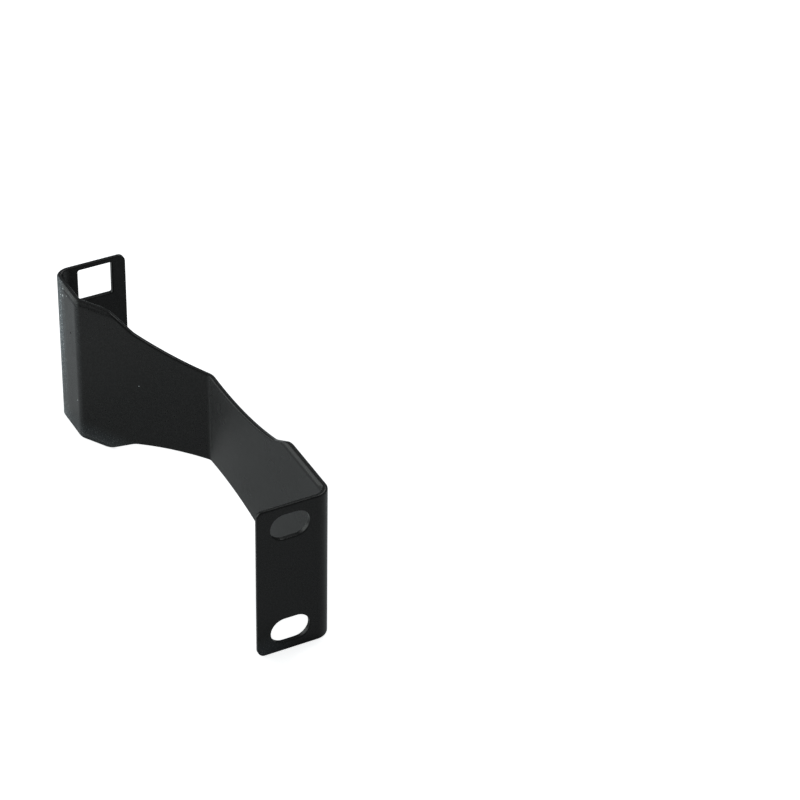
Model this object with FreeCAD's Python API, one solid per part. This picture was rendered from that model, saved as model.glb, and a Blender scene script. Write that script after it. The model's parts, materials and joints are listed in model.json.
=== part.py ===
import FreeCAD, Part
import math
import os

# A rack mount ear bracket: one strip of sheet steel, cut flat and then folded four times.
# The slotted flange bolts to a rack rail. The web behind it runs back, jogs sideways and runs
# back again, to a flange with two square holes, which stand exactly in line with the slots.
# A long shallow notch is cut into the top and the bottom edge of the web. It was cut in the
# flat strip as one arc, so it runs on across the middle fold from one panel to the next.
#
# Frame, in mm: the origin is the middle of the slotted flange's outer face, between the two
# slots. +X runs along the flanges towards the front web, +Y back along the web, +Z up.

Vector = FreeCAD.Vector
UP = Vector(0, 0, 1)

# The rack's own measures
rack_unit = 44.45
unit_play = 0.75            # how much lower than one unit the bracket is
between_units = 12.7        # from a unit's upper hole to the lower hole of the unit above

# Sheet and folds
sheet = 1.5
bend_radius = 2.75          # inside radius of every fold

# Flanges and their holes
flange_width = 20.2         # from the web's outer face to the flange's free edge
flange_corner = 1.8         # radius of a flange's free corners
hole_line = 11.5            # from a web's outer face to the middle of the holes
slot_length = 10.5
slot_width = 7.3
square_side = 9.6
square_corner = 0.5

# Web
depth = 117.8               # from one flange's outer face to the other's
jog_depth = 34.9            # how far back the slanted panel reaches, corner to corner
rear_web = 15.1             # from the slanted panel's rear corner to the rear flange's outer face

# Notch in the top and bottom edges, measured on the flat strip
notch_depth = 8.8
notch_front_gap = 16.85     # from the slotted flange's fold to the notch
notch_back_gap = 6.45       # from the notch to the fold behind the slanted panel
ramp_angle = 29.5           # slope of the short straight ramp at each end, in degrees
ramp_drop = 4.45            # how far down the ramp's foot is
ramp_top_radius = 6.5       # rounds the ramp's top into the straight edge
ramp_foot_radius = 8.0      # blends the ramp's foot into the long arc

# Rims
edge_radius = 0.3           # rounds the strip's outline
hole_bevel = 0.2            # breaks the rims of the holes
rim_angle = 45              # two faces that meet at more degrees than this have a rim between them

# Worked out from the sizes above
height = rack_unit - unit_play
hole_spacing = rack_unit - between_units
front_web = depth - rear_web - jog_depth
half_sheet = sheet / 2
middle_radius = bend_radius + half_sheet
half_height = height / 2
widest_wedge = math.radians(35)   # a notched fold is cut in wedges no wider than this


def corner_points():
    """The corners of the mid-sheet line in plan, from the slotted flange's free edge to the other's."""
    front_x = hole_line - half_sheet
    rear_x = half_sheet - hole_line
    rear_y = depth - half_sheet
    return [
        Vector(hole_line - flange_width, half_sheet, 0),
        Vector(front_x, half_sheet, 0),
        Vector(front_x, front_web, 0),
        Vector(rear_x, depth - rear_web, 0),
        Vector(rear_x, rear_y, 0),
        Vector(flange_width - hole_line, rear_y, 0),
    ]


def heading(start, end):
    """The direction from one point to another in plan, in radians from +X."""
    return math.atan2(end.y - start.y, end.x - start.x)


def fold_path():
    """The straight panels and the folds between them, in order.

    Each one has its place along the flat strip, from and to, and its start point and heading.
    A fold turns left where its turn is positive.
    """
    corners = corner_points()
    panels = []
    folds = []
    here = corners[0]
    place = 0.0
    for before, corner, after in zip(corners, corners[1:], corners[2:]):
        angle = heading(before, corner)
        turn = (heading(corner, after) - angle + math.pi) % (2 * math.pi) - math.pi
        setback = middle_radius * math.tan(abs(turn) / 2)
        forward = Vector(math.cos(angle), math.sin(angle), 0)
        fold_start = corner - forward * setback
        length = (fold_start - here).Length
        panels.append({"start": here, "angle": angle, "from": place, "to": place + length})
        place += length
        arc = middle_radius * abs(turn)
        folds.append({"start": fold_start, "angle": angle, "turn": turn, "from": place, "to": place + arc})
        place += arc
        after_angle = angle + turn
        here = corner + Vector(math.cos(after_angle), math.sin(after_angle), 0) * setback
    length = (corners[-1] - here).Length
    panels.append({"start": here, "angle": after_angle, "from": place, "to": place + length})
    return panels, folds


def notch_span(folds):
    """The two ends of the notch along the flat strip."""
    return folds[0]["to"] + notch_front_gap, folds[2]["from"] - notch_back_gap


def notch_points(half_span):
    """The joints of one half of the notch's outline and its arcs' centres.

    Each is a point across from the notch's middle, at a height above the straight edge. Going in
    from the end: a convex arc leaves the straight edge, a ramp runs down at ramp_angle, a concave
    arc takes up its foot, and the long arc runs on to the middle of the notch.
    """
    slope = math.radians(ramp_angle)
    down = Vector(-math.cos(slope), -math.sin(slope), 0)
    inside = Vector(-math.sin(slope), math.cos(slope), 0)
    top_centre = Vector(half_span, -ramp_top_radius, 0)
    ramp_top = top_centre - Vector(math.sin(slope), -math.cos(slope), 0) * ramp_top_radius
    foot = ramp_top + down * ((ramp_drop + ramp_top.y) / math.sin(slope))
    rise = notch_depth - ramp_drop
    arc_radius = (foot.x ** 2 + rise ** 2) / (2 * rise)
    arc_centre = Vector(0, arc_radius - notch_depth, 0)
    # the foot's arc touches the ramp on one side and the long arc, from inside, on the other
    offset = ramp_top + inside * ramp_foot_radius - arc_centre
    reach = arc_radius - ramp_foot_radius
    lean = offset.dot(down)
    slide = -lean + math.sqrt(lean ** 2 - offset.dot(offset) + reach ** 2)
    foot_centre = arc_centre + offset + down * slide
    ramp_end = foot_centre - inside * ramp_foot_radius
    outward = (foot_centre - arc_centre).normalize()
    arc_end = arc_centre + outward * arc_radius
    return {
        "ramp_top": ramp_top,
        "ramp_end": ramp_end,
        "arc_end": arc_end,
        "top_centre": top_centre,
        "foot_centre": foot_centre,
        "arc_centre": arc_centre,
        "arc_radius": arc_radius,
    }


def notch_level(across, half_span):
    """The height of the notched edge, at or below 0, at a distance across from the notch's middle."""
    joints = notch_points(half_span)
    across = abs(across)
    if across >= half_span:
        return 0.0
    if across >= joints["ramp_top"].x:
        reach = math.sqrt(ramp_top_radius ** 2 - (half_span - across) ** 2)
        return joints["top_centre"].y + reach
    if across >= joints["ramp_end"].x:
        return joints["ramp_top"].y - (joints["ramp_top"].x - across) * math.tan(math.radians(ramp_angle))
    if across >= joints["arc_end"].x:
        centre = joints["foot_centre"]
        return centre.y - math.sqrt(ramp_foot_radius ** 2 - (across - centre.x) ** 2)
    return joints["arc_centre"].y - math.sqrt(joints["arc_radius"] ** 2 - across ** 2)


def arc_through(start, centre, radius, end):
    """The short arc from start to end about a centre."""
    middle = (start + end) * 0.5 - centre
    return Part.Arc(start, centre + middle.normalize() * radius, end).toShape()


def notch_face(middle, half_span):
    """The notch in the strip's top edge, as a face in the strip's own plane, reaching up past the edge."""
    joints = notch_points(half_span)

    def at(point, side):
        return Vector(middle + side * point.x, 0, half_height + point.y)

    def half_outline(side):
        end = at(Vector(half_span, 0, 0), side)
        ramp_top = at(joints["ramp_top"], side)
        ramp_end = at(joints["ramp_end"], side)
        arc_end = at(joints["arc_end"], side)
        return [
            arc_through(end, at(joints["top_centre"], side), ramp_top_radius, ramp_top),
            Part.LineSegment(ramp_top, ramp_end).toShape(),
            arc_through(ramp_end, at(joints["foot_centre"], side), ramp_foot_radius, arc_end),
        ]

    bottom = Vector(middle, 0, half_height - notch_depth)
    arc_ends = [at(joints["arc_end"], side) for side in (-1, 1)]
    long_arc = Part.Arc(arc_ends[0], bottom, arc_ends[1]).toShape()
    corners = [
        Vector(middle + half_span, 0, half_height),
        Vector(middle + half_span, 0, height),
        Vector(middle - half_span, 0, height),
        Vector(middle - half_span, 0, half_height),
    ]
    sides = [Part.LineSegment(a, b).toShape() for a, b in zip(corners, corners[1:])]
    edges = half_outline(-1) + [long_arc] + half_outline(1) + sides
    return Part.Face(Part.Wire(Part.__sortEdges__(edges)))


def through_sheet(face):
    """A face in the strip's middle plane, carried through the sheet and past both sides."""
    return face.translated(Vector(0, -sheet, 0)).extrude(Vector(0, 2 * sheet, 0))


def upside_down(shape):
    """The same cut for the strip's lower edge."""
    return shape.mirror(Vector(0, 0, 0), UP)


def rounded_box(x, z, length, tall, radius):
    """A box with rounded corners, centred at x, z in the strip's plane, that runs right through the sheet."""
    box = Part.makeBox(length, 2 * sheet, tall, Vector(x - length / 2, -sheet, z - tall / 2))
    across = [e for e in box.Edges if e.BoundBox.YLength > sheet]
    return box.makeFillet(radius, across)


def slot(x, z):
    """One slot: two half-round ends of its width, joined by straight sides."""
    radius = slot_width / 2
    reach = (slot_length - slot_width) / 2
    ends = [
        Part.makeCylinder(radius, 2 * sheet, Vector(x + side * reach, -sheet, z), Vector(0, 1, 0))
        for side in (-1, 1)
    ]
    middle = Part.makeBox(2 * reach, 2 * sheet, slot_width, Vector(x - reach, -sheet, z - radius))
    return ends[0].fuse([middle, ends[1]]).removeSplitter()


def flat_strip(panels, folds):
    """The strip before it is folded, along +X, with every hole, notch and rounded corner cut."""
    length = panels[-1]["to"]
    strip = Part.makeBox(length, sheet, height, Vector(0, -half_sheet, -half_height))
    corners = [e for e in strip.Edges if e.BoundBox.YLength > half_sheet]
    strip = strip.makeFillet(flange_corner, corners)
    start, end = notch_span(folds)
    notch = through_sheet(notch_face((start + end) / 2, (end - start) / 2))
    cuts = [notch, upside_down(notch)]
    edge_to_holes = flange_width - hole_line
    for z in (-hole_spacing / 2, hole_spacing / 2):
        cuts.append(slot(edge_to_holes, z))
        cuts.append(rounded_box(length - edge_to_holes, z, square_side, square_side, square_corner))
    return strip.cut(cuts)


def placed_panel(strip, panel):
    """One flat panel, cut from the strip between two folds and moved to its place."""
    length = panel["to"] - panel["from"]
    room = Part.makeBox(length, 2 * sheet, 2 * height, Vector(panel["from"], -sheet, -height))
    piece = strip.common(room)
    piece.translate(Vector(-panel["from"], 0, 0))
    piece.rotate(Vector(0, 0, 0), UP, math.degrees(panel["angle"]))
    piece.translate(panel["start"])
    return piece


def upright_section(centre, direction, inner, outer, bottom, top):
    """An upright rectangle on a line out from a fold's axis."""
    points = [
        centre + direction * inner + UP * bottom,
        centre + direction * outer + UP * bottom,
        centre + direction * outer + UP * top,
        centre + direction * inner + UP * top,
    ]
    return Part.makePolygon(points + points[:1])


def folded_bend(fold, middle, half_span):
    """One fold: the sheet's section turned about the fold's axis, less the notch where that crosses it."""
    side = 1 if fold["turn"] > 0 else -1
    angle = fold["angle"]
    centre = fold["start"] + Vector(-math.sin(angle), math.cos(angle), 0) * (side * middle_radius)

    def outward(place):
        """The direction from the fold's axis to the sheet, at a place along the flat strip."""
        turned = angle + side * ((place - fold["from"]) / middle_radius - math.pi / 2)
        return Vector(math.cos(turned), math.sin(turned), 0)

    section = upright_section(
        centre, outward(fold["from"]), bend_radius, bend_radius + sheet, -half_height, half_height
    )
    bend = Part.Face(section).revolve(centre, UP, math.degrees(fold["turn"]))
    if abs(fold["to"] - middle) > half_span and abs(fold["from"] - middle) > half_span:
        return bend
    # the notched edge of a fold is a ramp that winds round its axis, so each wedge is a ruled loft,
    # from well inside the sheet to well outside it
    inner = bend_radius / 2
    outer = bend_radius + 2 * sheet
    wedges = math.ceil(abs(fold["turn"]) / widest_wedge)
    step = (fold["to"] - fold["from"]) / wedges
    for i in range(wedges):
        sections = []
        for place in (fold["from"] + i * step, fold["from"] + (i + 1) * step):
            level = half_height + notch_level(place - middle, half_span)
            sections.append(upright_section(centre, outward(place), inner, outer, level, height))
        wedge = Part.makeLoft(sections, True, True)
        bend = bend.cut([wedge, upside_down(wedge)])
    return bend


def rims(solid):
    """The edges where two faces meet at a clear angle, which leaves out the lines where folds begin."""
    found = []
    for edge in solid.Edges:
        faces = solid.ancestorsOfType(edge, Part.Face)
        if len(faces) != 2:
            continue
        point = edge.valueAt((edge.FirstParameter + edge.LastParameter) / 2)
        normals = []
        for face in faces:
            u, v = face.Surface.parameter(point)
            normals.append(face.normalAt(u, v))
        if abs(normals[0].dot(normals[1])) < math.cos(math.radians(rim_angle)):
            found.append(edge)
    return found


def hole_rims(solid):
    """The edges of the holes: those of every wire that isn't the outside of its face."""
    found = []
    for face in solid.Faces:
        for wire in face.Wires:
            if not wire.isSame(face.OuterWire):
                found += wire.Edges
    return found


def ear_bracket():
    """The whole bracket: the strip's panels moved to their places, the folds between them, and its rims."""
    panels, folds = fold_path()
    start, end = notch_span(folds)
    strip = flat_strip(panels, folds)
    pieces = [placed_panel(strip, panel) for panel in panels]
    pieces += [folded_bend(fold, (start + end) / 2, (end - start) / 2) for fold in folds]
    folded = pieces[0].fuse(pieces[1:])
    solid = folded.Solids[0]
    holes = hole_rims(solid)
    outline = [rim for rim in rims(solid) if not any(rim.isSame(edge) for edge in holes)]
    rounded = solid.makeFillet(edge_radius, outline)
    return rounded.makeChamfer(hole_bevel, hole_rims(rounded))


os.makedirs("parts", exist_ok=True)
bracket = ear_bracket()
bracket.exportStep("parts/ear_bracket.step")
box = bracket.optimalBoundingBox()
print("ear_bracket", bracket.isValid(), len(bracket.Solids), "solid,", round(bracket.Volume, 1), "mm3")
print("box", round(box.XLength, 3), round(box.YLength, 3), round(box.ZLength, 3))
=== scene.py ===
import json
import math

import bpy
import numpy as np
from mathutils import Matrix, Vector


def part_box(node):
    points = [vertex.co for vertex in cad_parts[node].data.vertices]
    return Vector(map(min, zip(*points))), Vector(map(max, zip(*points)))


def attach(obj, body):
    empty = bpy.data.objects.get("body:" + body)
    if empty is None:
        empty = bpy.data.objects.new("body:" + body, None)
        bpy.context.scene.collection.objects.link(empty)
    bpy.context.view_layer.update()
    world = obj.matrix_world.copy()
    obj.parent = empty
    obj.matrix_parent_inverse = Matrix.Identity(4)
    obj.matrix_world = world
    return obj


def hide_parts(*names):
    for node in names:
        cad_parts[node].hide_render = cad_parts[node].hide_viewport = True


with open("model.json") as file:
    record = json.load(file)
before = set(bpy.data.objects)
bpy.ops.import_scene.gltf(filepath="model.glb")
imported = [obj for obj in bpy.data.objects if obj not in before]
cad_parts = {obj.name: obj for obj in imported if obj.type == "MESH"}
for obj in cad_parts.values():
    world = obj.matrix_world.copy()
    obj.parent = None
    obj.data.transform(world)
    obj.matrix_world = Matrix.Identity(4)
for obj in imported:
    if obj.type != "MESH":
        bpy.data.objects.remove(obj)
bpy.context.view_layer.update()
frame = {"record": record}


# The camera stands to the left of the slotted flange and looks down on it through a long lens.
# Its place and angles are those that a model of the bracket needs to fall on the photograph's
# edges, with the middle of the picture as its axis.
mm = 0.001
lens = 146.96
sensor = 36.0
heading = math.radians(28.358)
down = math.radians(35.620)
roll = math.radians(1.202)
camera_place = Vector((-268.23, -550.27, 491.39)) * mm

ahead = Vector((math.sin(heading), math.cos(heading), 0))
forward = ahead * math.cos(down) - Vector((0, 0, math.sin(down)))
level = Vector((math.cos(heading), -math.sin(heading), 0))
right = level * math.cos(roll) + level.cross(forward) * math.sin(roll)
up = right.cross(forward)
turned = Matrix((right, up, -forward)).transposed()
camera = bpy.data.objects.new("camera", bpy.data.cameras.new("camera"))
camera.data.lens = lens
camera.data.sensor_width = sensor
camera.data.clip_start = 0.01
camera.data.clip_end = 100.0
camera.matrix_world = Matrix.Translation(camera_place) @ turned.to_4x4()
bpy.context.scene.collection.objects.link(camera)
bpy.context.scene.camera = camera


# The floor is a wide table of matt white acrylic. The bracket stands on it on the lower edges of
# its flanges and of the two ends of its web. The camera sees it glow white, and the bracket
# mirrors it as a dim, slightly blue table.
floor_reach = 6.0
floor_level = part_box("ear_bracket")[0].z
table_white = (0.9, 0.9, 0.9, 1.0)
table_roughness = 0.9
table_shine = 0.1
mirrored_glow = 0.045
mirrored_tint = (0.91, 1.0, 1.03, 1.0)
seen_glow = 0.81


def put(tree, kind, inputs=None, **settings):
    """A new node with its settings, and each input named set to a value or linked to a socket."""
    node = tree.nodes.new(kind)
    for name, value in settings.items():
        setattr(node, name, value)
    for name, value in (inputs or {}).items():
        if isinstance(value, bpy.types.NodeSocket):
            tree.links.new(value, node.inputs[name])
        else:
            node.inputs[name].default_value = value
    return node


def white_to_camera(tree, mirrored_strength, mirrored_colour, seen_strength):
    """The strength and the colour of a glow that is white to the camera and another one in reflections."""
    seen = put(tree, "ShaderNodeLightPath").outputs["Is Camera Ray"]
    strengths = {"Value": seen, "To Min": mirrored_strength, "To Max": seen_strength}
    colours = {"Factor": seen, "A": mirrored_colour, "B": (1.0, 1.0, 1.0, 1.0)}
    strength = put(tree, "ShaderNodeMapRange", strengths)
    colour = put(tree, "ShaderNodeMix", colours, data_type="RGBA")
    return strength.outputs["Result"], colour.outputs["Result"]


floor_mesh = bpy.data.meshes.new("floor")
sides = ((-1, -1), (1, -1), (1, 1), (-1, 1))
floor_corners = [(x * floor_reach, y * floor_reach, floor_level) for x, y in sides]
floor_mesh.from_pydata(floor_corners, [], [(0, 1, 2, 3)])
floor = bpy.data.objects.new("floor", floor_mesh)
bpy.context.scene.collection.objects.link(floor)

acrylic = bpy.data.materials.new("white_acrylic")
acrylic.use_nodes = True
acrylic_tree = acrylic.node_tree
acrylic_shader = acrylic_tree.nodes["Principled BSDF"]
acrylic_shader.inputs["Base Color"].default_value = table_white
acrylic_shader.inputs["Roughness"].default_value = table_roughness
acrylic_shader.inputs["Specular IOR Level"].default_value = table_shine
glow, tint = white_to_camera(acrylic_tree, mirrored_glow, mirrored_tint, seen_glow)
acrylic_tree.links.new(glow, acrylic_shader.inputs["Emission Strength"])
acrylic_tree.links.new(tint, acrylic_shader.inputs["Emission Color"])
floor_mesh.materials.append(acrylic)


# The studio is a tent of white cloth that the bracket mirrors as dim, with three square soft boxes
# behind it that the camera doesn't see. The main one stands high on the right, a faint one high on
# the left, and the rear web and the rims mirror the third, low on the left.
tent_colour = (0.92, 1.0, 1.03, 1.0)
tent_strength = 0.21
seen_strength = 1.0
plain_white = (1.0, 1.0, 1.0)
cool_white = (0.94, 1.0, 0.98)


def soft_box(name, place, size, power, colour):
    """A square area light at place that faces the bracket."""
    light = bpy.data.lights.new(name, "AREA")
    light.shape = "SQUARE"
    light.size = size
    light.energy = power
    light.color = colour
    box = bpy.data.objects.new(name, light)
    box.location = place
    box.rotation_euler = (-Vector(place)).to_track_quat("-Z", "Y").to_euler()
    box.visible_camera = False
    bpy.context.scene.collection.objects.link(box)


soft_box("main_light", (0.95, 0.74, 1.20), 0.80, 4.3, plain_white)
soft_box("back_light", (-0.60, 0.56, 0.16), 0.84, 3.9, cool_white)
soft_box("high_light", (-0.36, 0.72, 0.62), 0.50, 0.5, plain_white)

tent = bpy.data.worlds.new("tent")
tent.use_nodes = True
cloth = tent.node_tree.nodes["Background"]
glow, tint = white_to_camera(tent.node_tree, tent_strength, tent_colour, seen_strength)
tent.node_tree.links.new(glow, cloth.inputs["Strength"])
tent.node_tree.links.new(tint, cloth.inputs["Color"])
bpy.context.scene.world = tent


# The bracket is one strip of 1.5 mm sheet steel, cut flat and folded four times, then powder
# coated black all over. Its holes and the long notch in each edge were cut in the flat strip,
# and the coating rounds every rim.
low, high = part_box("ear_bracket")
mount_sizes = {mount["name"]: mount["dims"] for mount in frame["record"]["mounts"]}
height = (high.z - low.z) / mm
depth = high.y / mm
hole_line = high.x / mm                 # from a web's outer face to the middle of the holes
hole_height = mount_sizes["rail_slots"]["spacing_y_mm"] / 2
slot_length = mount_sizes["rail_slots"]["slot_length_mm"]
slot_radius = mount_sizes["rail_slots"]["hole_r_mm"]
square_side = 9.6
square_corner = 0.5
sheet = 1.5
bend_radius = 2.75
flange_width = 20.2
flange_corner = 1.8
jog_depth = 34.9
rear_web = 15.1
notch_depth = 8.8
notch_front_gap = 16.85
notch_back_gap = 6.45
ramp_slope = math.radians(29.5)
ramp_drop = 4.45
ramp_top_radius = 6.5
ramp_foot_radius = 8.0
rim = 0.32                              # radius of the coated rims
quarter_steps = 6                       # points round a quarter of a rim
wall_steps = 4                          # and across the flat cut wall between two quarters
slot_steps = 12                         # points round a quarter of a slot's outline
corner_steps = 7                        # and of a square hole's or a flange's corner
closest_points = 1e-6                   # closer ones are made one
closest_angles = 0.003                  # in radians, as seen from a hole's middle
tiny = 1e-9

half_sheet = sheet / 2
half_height = height / 2
middle_radius = bend_radius + half_sheet
corners = np.array([
    (hole_line - flange_width, half_sheet),
    (hole_line - half_sheet, half_sheet),
    (hole_line - half_sheet, depth - rear_web - jog_depth),
    (half_sheet - hole_line, depth - rear_web),
    (half_sheet - hole_line, depth - half_sheet),
    (flange_width - hole_line, depth - half_sheet),
])


def fold_up(corners, radius):
    """The middle line of the sheet in plan, as stretches that each have one curvature.

    A stretch is a row: place along the strip where it starts, start x and y, start heading,
    curvature. Each corner's fold starts radius times the tangent of half its turn before it.
    """
    runs = np.diff(corners, axis=0)
    headings = np.arctan2(runs[:, 1], runs[:, 0])
    turns = (np.diff(headings) + np.pi) % (2 * np.pi) - np.pi
    setbacks = radius * np.tan(np.abs(turns) / 2)
    trimmed = np.hypot(*runs.T) - np.r_[setbacks, 0] - np.r_[0, setbacks]
    arcs = radius * np.abs(turns)
    ahead = np.c_[np.cos(headings), np.sin(headings)]
    starts = corners[:-1] + ahead * np.r_[0, setbacks][:, None]
    fold_starts = corners[1:-1] - ahead[:-1] * setbacks[:, None]
    lengths = np.ravel(np.c_[trimmed, np.r_[arcs, 0]])[:-1]
    places = np.r_[0, np.cumsum(lengths)]
    stretches = np.zeros((len(lengths), 5))
    stretches[:, 0] = places[:-1]
    stretches[0::2, 1:3] = starts
    stretches[1::2, 1:3] = fold_starts
    stretches[0::2, 3] = headings
    stretches[1::2, 3] = headings[:-1]
    stretches[1::2, 4] = np.sign(turns) / radius
    return stretches, places


stretches, places = fold_up(corners, middle_radius)
strip_length = places[-1]
fold_line = places[1]                   # from a flange's free edge to its fold


def folded(along, tall, out):
    """Points of the flat strip, moved to where the folding takes them, in metres.

    along runs down the strip, tall across it and out through the sheet. The heading at a place
    is the stretch's start heading plus its curvature times the way into it. The middle line is
    that heading's integral, and out goes square to it, to the left.
    """
    row = stretches[np.clip(np.searchsorted(places, along, side="right") - 1, 0, len(stretches) - 1)]
    way = along - row[..., 0]
    turn = row[..., 3] + row[..., 4] * way
    straight = row[..., 4] == 0
    bend = np.where(straight, 1.0, row[..., 4])
    x = row[..., 1] + np.where(straight, way * np.cos(turn), (np.sin(turn) - np.sin(row[..., 3])) / bend)
    y = row[..., 2] + np.where(straight, way * np.sin(turn), (np.cos(row[..., 3]) - np.cos(turn)) / bend)
    return np.stack([x - out * np.sin(turn), y + out * np.cos(turn), tall], -1) * mm, turn


notch_start = places[2] + notch_front_gap
notch_end = places[5] - notch_back_gap
notch_middle = (notch_start + notch_end) / 2
notch_half = (notch_end - notch_start) / 2


def notch_joints():
    """The joints and centres of one half of the notch, as (across, height above the straight edge)."""
    ramp = np.array([math.cos(ramp_slope), math.sin(ramp_slope)])
    square = np.array([-math.sin(ramp_slope), math.cos(ramp_slope)])
    top_centre = np.array([notch_half, -ramp_top_radius])
    ramp_top = top_centre + square * ramp_top_radius
    foot = ramp_top - ramp * (ramp_drop + ramp_top[1]) / math.sin(ramp_slope)
    rise = notch_depth - ramp_drop
    long_radius = (foot[0] ** 2 + rise ** 2) / (2 * rise)
    long_centre = np.array([0.0, long_radius - notch_depth])
    offset = ramp_top + square * ramp_foot_radius - long_centre
    lean = offset @ ramp
    slide = lean + math.sqrt(lean ** 2 - offset @ offset + (long_radius - ramp_foot_radius) ** 2)
    foot_centre = long_centre + offset - ramp * slide
    ramp_end = foot_centre - square * ramp_foot_radius
    long_end_slope = math.atan2(*(foot_centre - long_centre) * (1, -1))
    return top_centre, ramp_top, ramp_end, foot_centre, long_end_slope, long_radius, long_centre


top_centre, ramp_top, ramp_end, foot_centre, long_end_slope, long_radius, long_centre = notch_joints()
notch_breaks = np.array([
    (long_radius + rim) * math.sin(long_end_slope),
    ramp_end[0] + rim * math.sin(ramp_slope),
    ramp_top[0] + rim * math.sin(ramp_slope),
    notch_half,
])


def edge_at(along):
    """How high the strip's face ends, a rim's radius inside its outline, and the outline's slope there.

    The long arc, the arc at the ramp's foot, the ramp and the arc at its top each keep their
    centre or slope, with the rim's radius added to a hollow arc and taken off a round one.
    """
    across = np.abs(along - notch_middle)
    parts = [across < end for end in notch_breaks]
    slope = np.select(
        parts,
        [
            np.arcsin(np.clip(across / (long_radius + rim), -1, 1)),
            np.arcsin(np.clip((across - foot_centre[0]) / (ramp_foot_radius + rim), -1, 1)),
            np.full_like(across, ramp_slope),
            np.arcsin(np.clip((notch_half - across) / (ramp_top_radius - rim), -1, 1)),
        ],
        0.0,
    )
    ramp_foot = ramp_end[1] - rim * math.cos(ramp_slope)
    drop = np.select(
        parts,
        [
            long_centre[1] - (long_radius + rim) * np.cos(slope),
            foot_centre[1] - (ramp_foot_radius + rim) * np.cos(slope),
            ramp_foot + (across - notch_breaks[1]) * math.tan(ramp_slope),
            top_centre[1] + (ramp_top_radius - rim) * np.cos(slope),
        ],
        -rim,
    )
    return half_height + drop, slope * np.sign(notch_middle - along)


def hole_ring(angles, core, radius):
    """Points of a rounded hole's outline, seen from its middle at those angles, and which way each faces.

    The hole is a core box swept by a circle. A ray meets a flat side if it lands beside the
    core, and otherwise the circle round the core's corner.
    """
    ray = np.stack([np.cos(angles), np.sin(angles)], -1)
    reach = (core + radius) / np.maximum(np.abs(ray), tiny)
    flat = ray * reach.min(-1)[:, None]
    corner = np.sign(ray) * core
    lean = (ray * corner).sum(-1)
    turn = lean + np.sqrt(np.maximum(lean ** 2 - (corner ** 2).sum(-1) + radius ** 2, 0))
    beside = (np.abs(flat) <= core + tiny).any(-1)
    points = np.where(beside[:, None], flat, ray * turn[:, None])
    return points, (points - np.clip(points, -core, core)) / radius


def hole_angles(core, radius, steps):
    """Angles of a rounded hole's outline points: even steps round each corner, from its side to its end.

    The first of them, minus half a turn, is left out, as the last one is at the same place.
    """
    turns = np.linspace(0, np.pi / 2, steps)
    quarter = core + radius * np.stack([np.cos(turns), np.sin(turns)], -1)
    first = np.arctan2(quarter[:, 1], quarter[:, 0])
    around = np.r_[first, np.pi - first, first - np.pi, -first]
    return np.unique(np.round(around, 9))[1:]


hole_middle = np.array([flange_width - hole_line, hole_height])
corner_centre = np.array([flange_corner, half_height - flange_corner])
slot_core = np.array([slot_length / 2 - slot_radius, 0.0])
square_core = np.array([square_side / 2 - square_corner] * 2)
holes = [
    (slot_core, slot_radius, hole_angles(slot_core, slot_radius + rim, slot_steps)),
    (square_core, square_corner, hole_angles(square_core, square_corner + rim, corner_steps)),
]


def panel_edge(angles):
    """Where rays from a hole's middle leave its half of the flange, and which way the outline faces there.

    The half is a box from the free edge to the fold and from mid-height to the top, with its free
    corner rounded. All of it but the fold and mid-height lies a rim's radius inside the outline.
    """
    ray = np.stack([np.cos(angles), np.sin(angles)], -1)
    ray = np.where(np.abs(ray) < tiny, tiny, ray)
    far = np.where(ray > 0, (fold_line, half_height - rim), (rim, 0.0))
    points = hole_middle + ray * ((far - hole_middle) / ray).min(-1)[:, None]
    centre = corner_centre - hole_middle
    lean = ray @ centre
    turn = lean + np.sqrt(np.maximum(lean ** 2 - centre @ centre + (flange_corner - rim) ** 2, 0))
    in_corner = (points[:, 0] < flange_corner) & (points[:, 1] > half_height - flange_corner)
    points = np.where(in_corner[:, None], hole_middle + ray * turn[:, None], points)
    facing = (points - hole_middle - centre) / (flange_corner - rim)
    facing = np.where(in_corner[:, None], facing, 0.0)
    on_top = ~in_corner & np.isclose(points[:, 1], half_height - rim)
    at_free_edge = ~in_corner & np.isclose(points[:, 0], rim)
    facing = np.where(on_top[:, None], (0.0, 1.0), facing)
    facing = np.where(at_free_edge[:, None], (-1.0, 0.0), facing)
    return points, facing


def fold_levels():
    """The heights at which both flanges' grids meet their folds, from mid-height to the top."""
    found = [0.0, half_height - rim]
    for core, radius, angles in holes:
        points = panel_edge(angles)[0]
        found += list(points[np.isclose(points[:, 0], fold_line), 1])
    return np.unique(np.round(found, 6))


levels = fold_levels()
to_levels = np.arctan2(levels - hole_middle[1], fold_line - hole_middle[0])
corner_turns = np.linspace(0, np.pi / 2, corner_steps)
round_corner = np.stack([-np.cos(corner_turns), np.sin(corner_turns)], -1) * (flange_corner - rim)
flange_corners = np.r_[[(rim, 0.0)], corner_centre + round_corner] - hole_middle
to_corners = np.arctan2(flange_corners[:, 1], flange_corners[:, 0])


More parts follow.
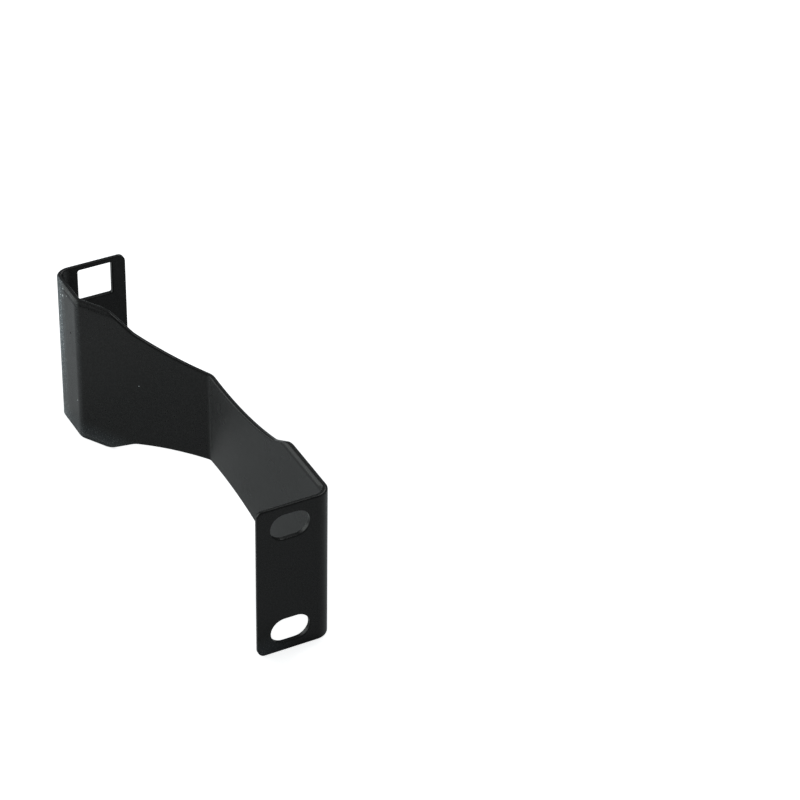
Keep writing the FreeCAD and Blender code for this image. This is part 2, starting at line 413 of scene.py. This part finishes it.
class Surface:
    """Patches of the sheet, each a grid of (along, tall, out) with the way it faces in the same terms."""

    def __init__(self):
        self.points = []
        self.facing = []
        self.quads = []
        self.crowned = []
        self.count = 0

    def add(self, points, facing, crowned=0.0):
        """One grid of points: each square of four neighbours is a face. crowned marks an outer edge."""
        rows, columns = points.shape[:2]
        index = np.arange(rows * columns).reshape(rows, columns) + self.count
        quads = np.stack([index[:-1, :-1], index[1:, :-1], index[1:, 1:], index[:-1, 1:]], -1)
        self.points.append(points.reshape(-1, 3))
        self.facing.append(np.broadcast_to(facing, points.shape).reshape(-1, 3))
        self.quads.append(quads.reshape(-1, 4))
        self.crowned.append(np.full(rows * columns, crowned))
        self.count += rows * columns

    def add_faces(self, flat):
        """A grid of (along, tall), once on each face of the sheet."""
        for side in (-1, 1):
            out = np.full(flat.shape[:2] + (1,), side * half_sheet)
            self.add(np.concatenate([flat, out], -1), np.array([0.0, 0.0, side]))

    def add_rim(self, inner, facing, crowned=0.0):
        """A rim carried along an outline: a quarter round, the cut wall, and a quarter round."""
        turns = np.linspace(0, np.pi / 2, quarter_steps)
        wall = np.linspace(-1, 1, wall_steps)[1:-1] * (half_sheet - rim)
        quarter = half_sheet - rim + rim * np.cos(turns)
        reach = np.r_[np.sin(turns), np.ones(len(wall)), np.sin(turns)[::-1]]
        out = np.r_[-quarter, wall, quarter[::-1]]
        faces_out = np.r_[-np.cos(turns), 0 * wall, np.cos(turns)[::-1]]
        flat = inner[None] + facing[None] * rim * reach[:, None, None]
        out = np.broadcast_to(out[:, None, None], flat.shape[:2] + (1,))
        across = facing[None] * reach[:, None, None]
        through = np.broadcast_to(faces_out[:, None, None], out.shape)
        self.add(np.concatenate([flat, out], -1), np.concatenate([across, through], -1), crowned)

    def mesh(self, name):
        """The whole surface folded up, with the points that patches share made one."""
        points = np.concatenate(self.points)
        facing = np.concatenate(self.facing)
        quads = np.concatenate(self.quads)
        rounded = np.rint(points / closest_points).astype(np.int64)
        first, same = np.unique(rounded, axis=0, return_index=True, return_inverse=True)[1:]
        points = points[first]
        facing = facing[first]
        crowned = np.concatenate(self.crowned)[first]
        quads = same.reshape(-1)[quads]
        place, turn = folded(*points.T)
        normal = np.stack([
            facing[:, 0] * np.cos(turn) - facing[:, 2] * np.sin(turn),
            facing[:, 0] * np.sin(turn) + facing[:, 2] * np.cos(turn),
            facing[:, 1],
        ], -1)
        normal /= np.linalg.norm(normal, axis=1)[:, None]
        one_diagonal = place[quads[:, 2]] - place[quads[:, 0]]
        other_diagonal = place[quads[:, 3]] - place[quads[:, 1]]
        inward = (np.cross(one_diagonal, other_diagonal) * normal[quads].mean(1)).sum(-1) < 0
        quads[inward] = quads[inward, ::-1]
        mesh = bpy.data.meshes.new(name)
        mesh.from_pydata(place, [], quads)
        mesh.shade_smooth()
        mesh.normals_split_custom_set_from_vertices(normal)
        for label, values in (("through", points[:, 2]), ("crowned", crowned)):
            attribute = mesh.attributes.new(label, "FLOAT", "POINT")
            attribute.data.foreach_set("value", values.astype(np.float32))
        return mesh


def flange_grid(core, radius, angles, steps=4):
    """Half of a flange, from its hole's rim out to its own edges, and both rims' outlines."""
    needed = np.r_[to_corners, to_levels]
    apart = np.abs(angles[:, None] - needed).min(1) > closest_angles
    off_fold = ~np.isclose(panel_edge(angles)[0][:, 0], fold_line)
    all_angles = np.sort(np.r_[angles[apart & off_fold], needed])
    outer, outer_facing = panel_edge(all_angles)
    at_fold = np.isclose(outer[:, 0], fold_line)
    outer[at_fold] = np.stack([np.full(len(levels), fold_line), levels], -1)
    ring, ring_facing = hole_ring(all_angles, core, radius + rim)
    inner = ring + hole_middle
    share = np.linspace(0, 1, steps + 1)[:, None, None]
    grid = inner[None] * (1 - share) + outer[None] * share
    closed = np.concatenate([grid, grid[:, :1]], 1)
    return closed, np.r_[inner, inner[:1]], -np.r_[ring_facing, ring_facing[:1]], outer, outer_facing


surface = Surface()
outline = []
for (core, radius, angles), mirrored in zip(holes, (False, True)):
    grid, ring, ring_facing, outer, outer_facing = flange_grid(core, radius, angles)
    on_outline = np.abs(outer_facing).sum(-1) > 0
    path = outer[on_outline]
    path_facing = outer_facing[on_outline]
    order = np.argsort(path.sum(-1))
    turn = np.array([-1.0, 1.0]) if mirrored else np.ones(2)
    shift = np.array([strip_length, 0.0]) if mirrored else np.zeros(2)
    for flip in (1, -1):
        sign = np.array([1.0, flip])
        surface.add_faces((grid * turn + shift) * sign)
        surface.add_rim((ring * turn + shift) * sign, ring_facing * turn * sign)
    outline.append((path[order] * turn + shift, path_facing[order] * turn))

# The webs' columns of points stand closest in the folds and at the notch's two tight arcs.
fold_steps = []
for fold, count in ((1, 13), (3, 9), (5, 9), (7, 13)):
    fold_steps.append(np.linspace(places[fold], places[fold + 1], count))
notch_steps = np.r_[
    np.linspace(0, notch_breaks[0], 22),
    np.linspace(notch_breaks[0], notch_breaks[1], 4),
    np.linspace(notch_breaks[1], notch_breaks[2], 4),
    np.linspace(notch_breaks[2], notch_breaks[3], 9),
]
straight_steps = np.r_[
    np.linspace(places[2], notch_start, 8),
    np.linspace(notch_end, places[5], 4),
    np.linspace(places[6], places[7], 5),
]
columns = np.r_[notch_middle + notch_steps, notch_middle - notch_steps, straight_steps]
columns = np.unique(np.round(np.r_[columns, np.concatenate(fold_steps)], 7))
top, slope = edge_at(columns)
rows = np.r_[-levels[:0:-1], levels] / levels[-1]
surface.add_faces(np.stack(np.broadcast_arrays(columns[None], rows[:, None] * top[None]), -1))
web_path = np.stack([columns, top], -1)
web_facing = np.stack([np.sin(slope), np.cos(slope)], -1)
upper = np.concatenate([outline[0][0], web_path, outline[1][0][::-1]])
upper_facing = np.concatenate([outline[0][1], web_facing, outline[1][1][::-1]])
once = np.r_[True, np.linalg.norm(np.diff(upper, axis=0), axis=1) > closest_points]
upper = upper[once]
upper_facing = upper_facing[once]
for flip in (1, -1):
    sign = np.array([1.0, flip])
    surface.add_rim(upper * sign, upper_facing * sign, 1.0)

mesh = surface.mesh("bracket_sheet")
bracket = bpy.data.objects.new("bracket_sheet", mesh)
bpy.context.scene.collection.objects.link(bracket)
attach(bracket, "root")
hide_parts("ear_bracket")

# The coat is baked black powder with a fine orange peel and a finer grain. Beside the webs' straight
# edges its face leans in, and along the sheet's outer edges it is rounded from one face to the
# other, so both take the light in a soft band. Either drop is half a distance squared over a radius.
coat_black = (0.0075, 0.0072, 0.0070, 1.0)
coat_grey = (0.0175, 0.0170, 0.0165, 1.0)
# The pale grey of the rear web's film: dust, and a painted reflection along the rear fold and at the
# panels' foot.
dust_and_reflection_grey = (0.13, 0.16, 0.18, 1.0)
speck_white = (0.80, 0.85, 0.86, 1.0)
coat_shine = 0.27
coat_roughness = (0.245, 0.285)
scuff_dullness = 0.6
peel_scale = 420.0                      # the noises' scales, in cells to the metre
grain_scale = 2300.0
cloud_scale = 70.0
streak_scale = 700.0
dust_scale = 3600.0
texture_height = 1.6e-5                 # in metres
lip_width = 2.2                         # from a straight edge to where its face starts to lean in
lip_radius = 2.4
lip_full = 6.0                          # from a flange's outer face to where the lean is full
lip_end = 1.5                           # and to where it has faded out
crown_radius = 0.66

coat = bpy.data.materials.new("powder_coat")
coat.use_nodes = True
coat_tree = coat.node_tree
coat_shader = coat_tree.nodes["Principled BSDF"]


def noise(vector, scale, detail):
    """A noise between 0 and 1."""
    inputs = {"Vector": vector, "Scale": scale, "Detail": detail}
    return put(coat_tree, "ShaderNodeTexNoise", inputs).outputs[0]


def spread(value, low, high, to_low=0.0, to_high=1.0):
    """A value eased from to_low at low to to_high at high, and held at both ends."""
    ends = {"Value": value, "From Min": low, "From Max": high, "To Min": to_low, "To Max": to_high}
    return put(coat_tree, "ShaderNodeMapRange", ends, interpolation_type="SMOOTHSTEP").outputs["Result"]


def combine(operation, first, second=0.0):
    """The result of a math operation on one or two values."""
    return put(coat_tree, "ShaderNodeMath", {0: first, 1: second}, operation=operation).outputs[0]


def blend(share, first, second):
    """One colour blended into another by a share."""
    colours = {"Factor": share, "A": first, "B": second}
    return put(coat_tree, "ShaderNodeMix", colours, data_type="RGBA").outputs["Result"]


def bump(height, distance, strength, normal=None):
    """The normal that a height gives to the face, or to another normal."""
    inputs = {"Strength": strength, "Distance": distance, "Height": height}
    if normal is not None:
        inputs["Normal"] = normal
    return put(coat_tree, "ShaderNodeBump", inputs).outputs["Normal"]


where = put(coat_tree, "ShaderNodeTexCoord").outputs["Object"]
axes = put(coat_tree, "ShaderNodeSeparateXYZ", {"Vector": where}).outputs
through = put(coat_tree, "ShaderNodeAttribute", attribute_name="through").outputs["Fac"]
crowned = put(coat_tree, "ShaderNodeAttribute", attribute_name="crowned").outputs["Fac"]

crown = combine("MULTIPLY", combine("MULTIPLY", through, through), -0.5 * mm / crown_radius)
lip = combine("SUBTRACT", combine("ABSOLUTE", axes["Z"]), (half_height - lip_width) * mm)
lip = combine("MAXIMUM", lip)
lip = combine("MULTIPLY", combine("MULTIPLY", lip, lip), -0.5 / (lip_radius * mm))
from_middle = combine("ABSOLUTE", combine("SUBTRACT", axes["Y"], depth / 2 * mm))
on_webs = spread(from_middle, (depth / 2 - lip_end) * mm, (depth / 2 - lip_full) * mm)
peel = noise(where, peel_scale, 1.0)
grain = noise(where, grain_scale, 1.0)
texture = combine("ADD", peel, combine("MULTIPLY", grain, 0.5))
normal = bump(crown, 1.0, crowned)
normal = bump(lip, 1.0, on_webs, normal)
normal = bump(texture, texture_height, 1.0, normal)
roughness = spread(noise(where, cloud_scale, 3.0), 0.3, 0.7, *coat_roughness)

# A thin pale film lies on the outer face of the rear web, in streaks that run down it. It is partly dust
# and partly a painted reflection. It is thickest along the rear fold, where it paints the fold's bright
# mirror of the floor, and it is thicker towards the top. A fainter pale film near the foot of the slanted
# panel and the rear web is a painted reflection of the floor, and the film holds single grains of dust.
stretched = put(coat_tree, "ShaderNodeMapping", {"Vector": where, "Scale": (1.0, 1.0, 0.05)}).outputs[0]
streaks = spread(noise(stretched, streak_scale, 2.0), 0.35, 0.7, 0.4, 1.0)
on_rear_web = spread(axes["X"], (0.9 - hole_line) * mm, (0.1 - hole_line) * mm)
# Painted reflection: the film rises to full over the last millimetres before the rear fold, where the fold
# mirrors the floor.
rear_fold_reflection = spread(axes["Y"], (depth - 9.3) * mm, (depth - 2.3) * mm, 0.06, 1.0)
to_top = spread(axes["Z"], -12.0 * mm, 12.0 * mm, 0.8, 1.5)
dust_and_reflection_film = combine("MULTIPLY", combine("MULTIPLY", on_rear_web, rear_fold_reflection), streaks)
dust_and_reflection_film = combine("MULTIPLY", dust_and_reflection_film, to_top)
# Painted reflection: a faint pale film near the foot of the slanted panel and towards the rear web,
# standing in for the lit floor that they mirror.
reflection_to_foot = spread(axes["Z"], (6.85 - half_height) * mm, (0.85 - half_height) * mm)
reflection_to_rear_web = spread(axes["X"], 3.0 * mm, -8.0 * mm, 0.0, 0.15)
dust_and_reflection_film = combine("ADD", dust_and_reflection_film, combine("MULTIPLY", reflection_to_foot, reflection_to_rear_web))
grains = spread(noise(where, dust_scale, 0.0), 0.62, 0.72)
grains = combine("MULTIPLY", grains, combine("MULTIPLY", dust_and_reflection_film, 0.8))


def spot(place, inner, outer):
    """1 within inner millimetres of a place, easing to 0 at outer."""
    away = put(coat_tree, "ShaderNodeVectorMath", {0: where, 1: Vector(place) * mm}, operation="DISTANCE")
    return spread(away.outputs["Value"], outer * mm, inner * mm)


# Single specks of dust, each with its radius, and one small scuff on the rear web that has lost
# its gloss.
specks = grains
for place, radius in (
    ((-11.5, 111.0, 18.2), 0.26),
    ((-11.5, 110.6, 20.6), 0.20),
    ((-11.5, 112.4, 17.7), 0.16),
    ((-11.5, 108.3, 19.6), 0.14),
    ((-11.5, 113.2, 10.6), 0.16),
    ((-11.5, 104.0, -10.7), 0.14),
    ((-1.4, 86.1, 2.0), 0.10),
):
    specks = combine("MAXIMUM", specks, spot(place, radius * 0.9, radius * 1.5))
scuff = spot((-11.5, 106.6, 9.2), 0.18, 0.42)
roughness = combine("ADD", roughness, combine("MULTIPLY", scuff, scuff_dullness))

clean = blend(spread(grain, 0.35, 0.65), coat_black, coat_grey)
# The pale film laid over the coat's colour: dust and painted reflection together.
dust_and_reflection_coat = blend(dust_and_reflection_film, clean, dust_and_reflection_grey)
colour = blend(specks, dust_and_reflection_coat, speck_white)
coat_tree.links.new(colour, coat_shader.inputs["Base Color"])
coat_tree.links.new(roughness, coat_shader.inputs["Roughness"])
coat_tree.links.new(normal, coat_shader.inputs["Normal"])
coat_shader.inputs["Specular IOR Level"].default_value = coat_shine
mesh.materials.append(coat)


bpy.context.scene.view_settings.view_transform = "Standard"
